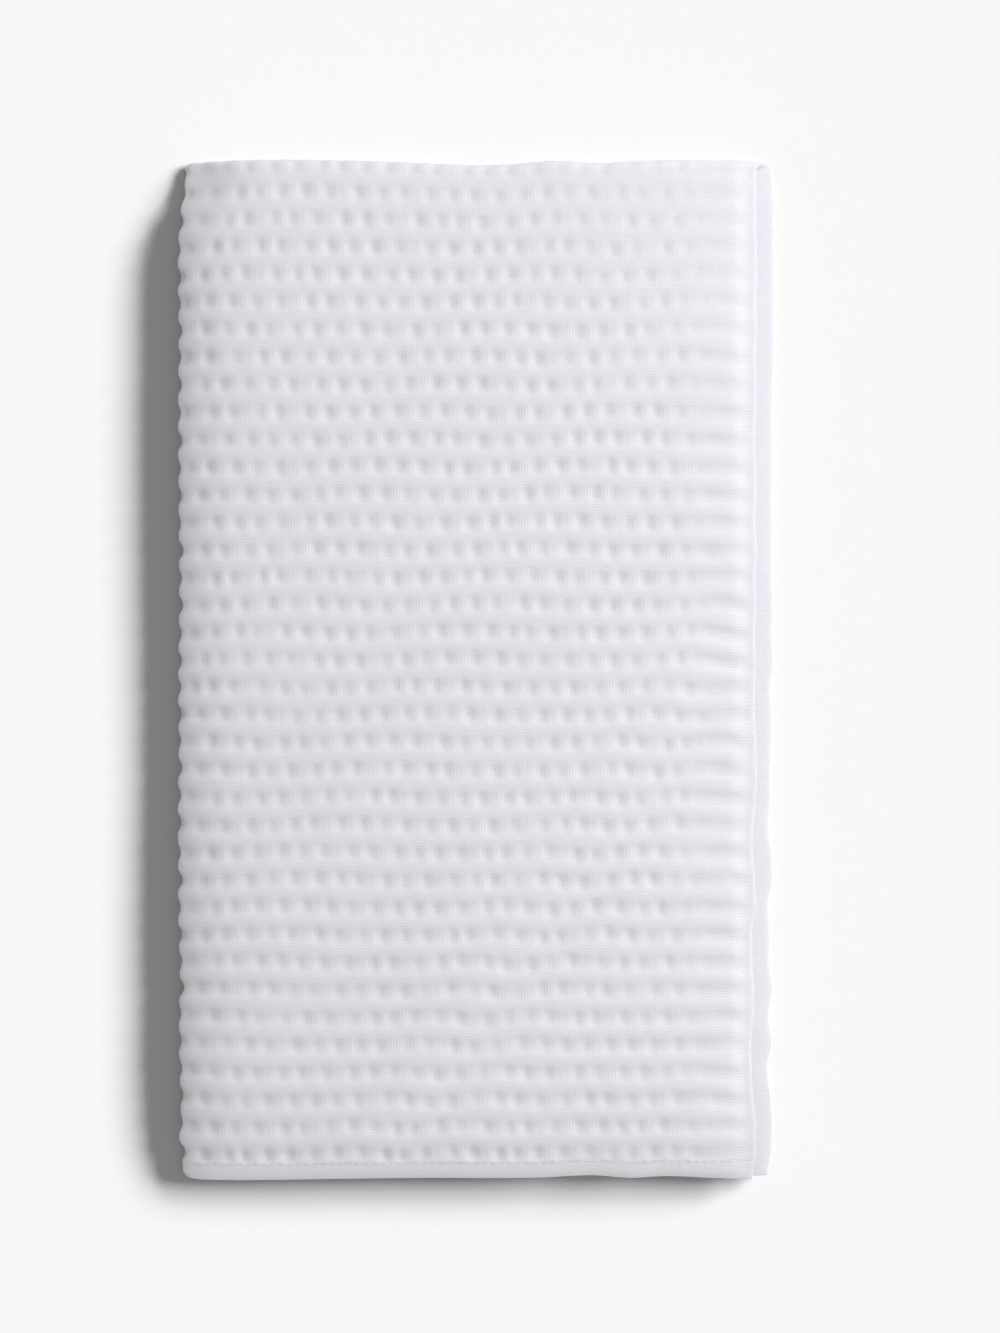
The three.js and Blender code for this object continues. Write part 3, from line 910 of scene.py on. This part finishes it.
        border = np.concatenate([
            outer[0, :-1], outer[:, -1], inner[:-1, -1], inner[-1, :0:-1], inner[::-1, 0][:-1],
            inner[0, :1], outer[:0:-1, 0],
        ])
        flat = np.concatenate(places)[border]
        edge = np.array([self.hem_lip, self.hem_lip])
        size = np.array([cloth.flat_length, cloth.flat_width])
        share = (flat - edge) / (size - 2 * edge)
        loop = border
        turns = np.linspace(0, math.pi, self.lip_steps + 1)[1:]
        lips = [(self.hem_lip * (1 - math.sin(lip)), lip) for lip in turns]
        for inset, lip in [*lips, (self.overlap, math.pi)]:
            stretched = inset + share * (size - 2 * inset)
            first = add_points(stretched[:, 0], stretched[:, 1], lip)
            following = first + np.arange(len(loop))
            faces.append(np.stack([loop, np.roll(loop, -1), np.roll(following, -1), following], axis=-1))
            loop = following

        inset = self.overlap + self.weld
        face = add_grid(self.rows_hidden(inset), self.columns_coarse(inset), math.pi)
        faces.append(quads(face[0, 0], *face.shape)[:, ::-1])
        rim = ring(face)
        rim_share = (np.concatenate(places)[rim] - inset) / (size - 2 * inset)
        edge_walk = np.append(loop, loop[0]), self.round_place(share)
        faces.append(bridge(*edge_walk, np.append(rim, rim[0]), self.round_place(rim_share)))

        all_points, all_places = np.concatenate(points), np.concatenate(places)
        low, high = all_points.min(axis=0), all_points.max(axis=0)
        self.shift = -np.array([(low[0] + high[0]) / 2, (low[1] + high[1]) / 2, low[2]])
        piece = add_mesh("towel_cloth", all_points + self.shift, faces)
        self.dress(piece, all_places, np.concatenate(hidden))
        return piece

    def round_place(self, share: np.ndarray) -> np.ndarray:
        """Place of each point along a border that is walked once round, from 0 to 4 with a side for each 1.

        Args:
            share: Share of the way along and across the cloth, for each point in walking order.

        Returns:
            The places, and 4 for the point that closes the walk.
        """
        along, across = share.T.clip(0, 1)
        near = 1e-6
        first = (along < near) & (across < 1 - near)
        second = (across > 1 - near) & (along < 1 - near)
        third = (along > 1 - near) & (across > near)
        side = np.select([first, second, third], [across, 1 + along, 3 - across], 4 - along)
        return np.append(side, 4.0)

    def dress(self, piece: bpy.types.Object, places: np.ndarray, hidden: np.ndarray) -> None:
        """Gives the cloth its flat map, its relief and its painted shade as attributes, and its material.

        Args:
            piece: The sheet.
            places: Of each point, along and across the flat cloth.
            hidden: Whether each point is on the hidden face.
        """
        mesh, cloth, weave = piece.data, self.cloth, self.cloth.weave
        along, across = places.T
        rib, wall, _ = weave.cells(along, across)
        # Painted shade: cells darker than ribs by their height, and one even tone on hidden and pressed cloth.
        rise = np.where(hidden, self.hidden_shade_tone, self.height(along, across) / weave.rib_height)
        _, roll = cloth.lengthwise(across)
        past_straight = smooth(along, cloth.straight_along, cloth.straight_along + self.press_fade)
        pressed = smooth(roll, *cloth.relief_ends) * (1 - past_straight)
        rise = rise + (self.hidden_shade_tone - rise) * pressed
        # Painted shade along the selvedges: full on the rim, a little of it further in.
        from_selvedge = self.from_selvedge(across)
        rim = 1 - self.rim_share * smooth(from_selvedge, self.rim, self.rim_fade)
        rim = rim - (1 - self.rim_share) * smooth(from_selvedge, 0, self.rim)
        warp_up = smooth(wall - rib, *self.warp_up_from)
        for layer, values in (
            (Layer.CELL_SHADE, rise), (Layer.WARP_UP, warp_up), (Layer.PRESSED, pressed), (Layer.SELVEDGE_SHADE, rim),
        ):
            attribute = mesh.attributes.new(layer.value, "FLOAT", "POINT")
            attribute.data.foreach_set("value", values.astype(np.float32))
        corners = np.empty(len(mesh.loops), int)
        mesh.loops.foreach_get("vertex_index", corners)
        flat_map = mesh.uv_layers.new(name=Layer.FLAT_MAP.value)
        flat_map.uv.foreach_set("vector", (places[corners][:, ::-1] * MM).ravel().astype(np.float32))
        mesh.materials.append(self.finish.material())


@dataclass
class HemSeam:
    """The row of stitches that holds the turned hem down."""

    sheet: TowelSheet  # the cloth that it is sewn through
    finish: SewingThread = field(default_factory=SewingThread)  # its thread
    pitch: float = 3.0  # from stitch to stitch
    length: float = 2.5  # of the thread that shows
    thread: float = 0.2  # its radius
    margin: float = 2.5  # from the selvedges to the first and the last stitch
    steps: int = 6  # rings of points along a stitch
    sides: int = 6  # facets around the thread
    taper: float = 0.6  # share of the radius that is lost at a stitch's ends
    proud: float = 0.02  # how far its middle stands up
    dip: float = 0.24  # how far its ends dip
    sunk: float = 0.45  # how much deeper it is pressed into the cloth underneath the towel
    # Turn around the lengthwise fold between which that starts.
    sunk_from: tuple[float, float] = (0.4 * math.pi, 0.8 * math.pi)

    def build(self) -> bpy.types.Object:
        """Stitches as short round threads that dip into the cloth at both ends, closed by flat caps.

        A point is given by its stitch, its place along the stitch and its angle around the thread. The
        radius shrinks and the thread dips to both ends with the fourth power of the place.

        Returns:
            The piece.
        """
        cloth = self.sheet.cloth
        centre = np.arange(self.margin, cloth.flat_width - self.margin, self.pitch)
        way = np.linspace(-1, 1, self.steps)[None, :, None]
        angle = np.arange(self.sides) / self.sides * 2 * math.pi
        along = np.full((1, 1, 1), cloth.weave.stitch_line)
        across = centre[:, None, None] + way * self.length / 2
        radius = self.thread * (1 - self.taper * way ** 4)
        bed = cloth.thickness / 2 + self.sheet.half(along, across) + self.sheet.height(along, across)
        _, roll = cloth.lengthwise(across)
        arch = self.proud - self.dip * way ** 4 - self.sunk * smooth(roll, *self.sunk_from)
        points = cloth.place(
            along + radius * np.cos(angle), across + 0 * angle, bed + arch + radius * np.sin(angle),
        ).reshape(-1, 3)
        rings = np.arange(len(points)).reshape(len(centre), self.steps, self.sides)
        turned = np.roll(rings, -1, axis=2)
        body = np.stack([rings[:, :-1], turned[:, :-1], turned[:, 1:], rings[:, 1:]], axis=-1).reshape(-1, 4)
        caps = np.concatenate([rings[:, 0, ::-1], rings[:, -1]])
        piece = add_mesh("hem_seam", points + self.sheet.shift, [body, caps])
        piece.data.materials.append(self.finish.material())
        return piece


class LampKind(Enum):
    """How far away a lamp stands, by Blender's name of the light."""

    DISTANT = "SUN"
    SOFTBOX = "AREA"


@dataclass(frozen=True)
class Lamp:
    """A round soft light that is seen by some of the pieces only."""

    name: str  # of the light
    kind: LampKind  # far off, so that it is even over the floor, or a softbox close by
    towards: tuple[float, float, float]  # direction in which it stands
    width: float  # angle that it covers, in degrees
    strength: float  # brightness of a white surface that faces it
    distance: float = 1.3  # of a softbox, in metres

    def build(self, lit: list[bpy.types.Object]) -> None:
        """Adds the light.

        A distant lamp's energy is its irradiance, pi times the brightness. A round softbox has that
        irradiance at its distance when it gives out pi times the squared distance times as much power.

        Args:
            lit: The pieces that it lights.
        """
        lamp = bpy.data.lights.new(self.name, self.kind.value)
        lamp.energy = self.strength * math.pi
        if self.kind is LampKind.DISTANT:
            lamp.angle = math.radians(self.width)
        else:
            lamp.shape = "DISK"
            lamp.size = 2 * self.distance * math.tan(math.radians(self.width / 2))
            lamp.energy *= math.pi * self.distance ** 2
        light = bpy.data.objects.new(self.name, lamp)
        direction = Vector(self.towards).normalized()
        light.location = direction * self.distance
        light.rotation_euler = direction.to_track_quat("Z", "Y").to_euler()
        bpy.context.scene.collection.objects.link(light)
        group = bpy.data.collections.new(f"{self.name}_lights")
        for piece in lit:
            group.objects.link(piece)
        light.light_linking.receiver_collection = group


@dataclass
class Studio:
    """Floor, lights and camera: soft light from the upper right, seen from straight above.

    The photograph's towel is lit by a broad light and its shadow on the floor by a narrower one, so each
    has a lamp of its own.
    """

    floor: PaperSweep = field(default_factory=PaperSweep)  # the paper underneath
    # Light the floor, side by side like one wide and low softbox.
    shadow_lamps: tuple[Lamp, ...] = (
        Lamp("shadow_lamp_right", LampKind.DISTANT, (1.03, 0.19, 0.405), 12, 1.28),
        Lamp("shadow_lamp_middle", LampKind.DISTANT, (1.0, 0.41, 0.395), 12, 1.28),
        Lamp("shadow_lamp_left", LampKind.DISTANT, (0.93, 0.65, 0.39), 12, 1.28),
    )
    # Lights the towel.
    cloth_lamp: Lamp = Lamp("cloth_lamp", LampKind.SOFTBOX, (0.9, 0.34, 0.84), 90, 1.78, 1.0)
    fill: float = 0.38  # brightness of the room around
    camera_height: float = 1.3  # over the floor, in metres
    view_length: float = 0.4682  # long side of the view at the towel's top, in metres
    towel_top: float = 0.014  # height of that top, in metres
    view_centre: tuple[float, float] = (0.0087, 0.0013)  # where the view's middle meets the floor, in metres
    sensor: float = 36  # long side of the camera's sensor, in mm

    def build(self, towel: list[bpy.types.Object]) -> None:
        """Sets up the whole studio.

        Args:
            towel: The towel's pieces.
        """
        floor = self.floor.build()
        for lamp in self.shadow_lamps:
            lamp.build([floor])
        self.cloth_lamp.build(towel)
        self.add_world()
        self.add_camera()
        bpy.context.scene.view_settings.view_transform = "Standard"

    def add_world(self) -> None:
        """An even pale room."""
        world = bpy.data.worlds.new("room")
        world.use_nodes = True
        world.node_tree.nodes.clear()
        room = add_node(
            world.node_tree, "ShaderNodeBackground", {"Color": linear("#FFFFFF"), "Strength": self.fill},
        )
        add_node(world.node_tree, "ShaderNodeOutputWorld", {"Surface": room.outputs[0]})
        bpy.context.scene.world = world

    def add_camera(self) -> None:
        """A camera that looks straight down, whose lens frames the photograph's field."""
        lens = bpy.data.cameras.new("camera")
        lens.sensor_width = self.sensor
        lens.lens = self.sensor * (self.camera_height - self.towel_top) / self.view_length
        camera = bpy.data.objects.new("camera", lens)
        camera.location = (*self.view_centre, self.camera_height)
        bpy.context.scene.collection.objects.link(camera)
        bpy.context.scene.camera = camera


def main() -> None:
    """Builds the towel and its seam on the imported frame, then the studio."""
    logging.basicConfig(level=logging.INFO, format="%(message)s")
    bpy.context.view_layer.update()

    sheet = TowelSheet()
    cloth = sheet.build()
    seam = HemSeam(sheet).build()
    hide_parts("towel")
    for piece in (cloth, seam):
        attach(piece, "root")
        log.info("%s: %d faces", piece.name, len(piece.data.polygons))

    Studio().build([cloth, seam])


if __name__ == "__main__":
    main()
